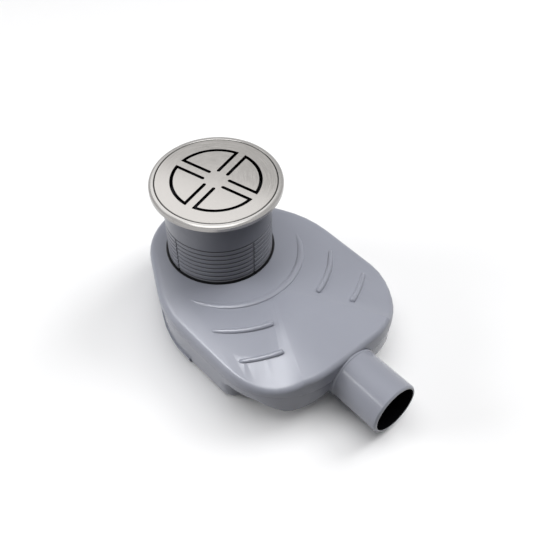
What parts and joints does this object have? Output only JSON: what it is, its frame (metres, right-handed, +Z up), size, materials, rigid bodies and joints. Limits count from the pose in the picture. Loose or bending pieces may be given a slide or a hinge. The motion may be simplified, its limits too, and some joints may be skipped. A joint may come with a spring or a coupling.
{
  "type": "shower drain",
  "caption": "Shower floor drain: flat trap body with a round side spigot, height-adjustable ribbed riser, round metal rim and slotted grate.",
  "frame": {"origin": "on the neck axis, at the underside of the body", "axes": "+Z up along the neck axis; +X along the outlet spigot; +Y completes the right-handed frame"},
  "size_m": [0.3, 0.183, 0.139],
  "materials": {
    "grey_plastic": "satin moulded",
    "brushed_steel": "brushed",
    "black_rubber": "matte"
  },
  "bodies": {
    "trap_body": {"body_base": "grey_plastic", "body_top": "grey_plastic", "socket_seal": "black_rubber", "trap_insert": "grey_plastic", "trap_insert_seal": "black_rubber"},
    "riser": {"riser_tube": "grey_plastic", "rim_frame": "brushed_steel", "grate_disc": "brushed_steel", "strainer_basket": "grey_plastic"}
  },
  "joints": [
    {"name": "riser_height", "type": "slide", "parent": "trap_body", "child": "riser", "axis": [0, 0, 1], "range_m": [-0.018, 0.006]}
  ]
}
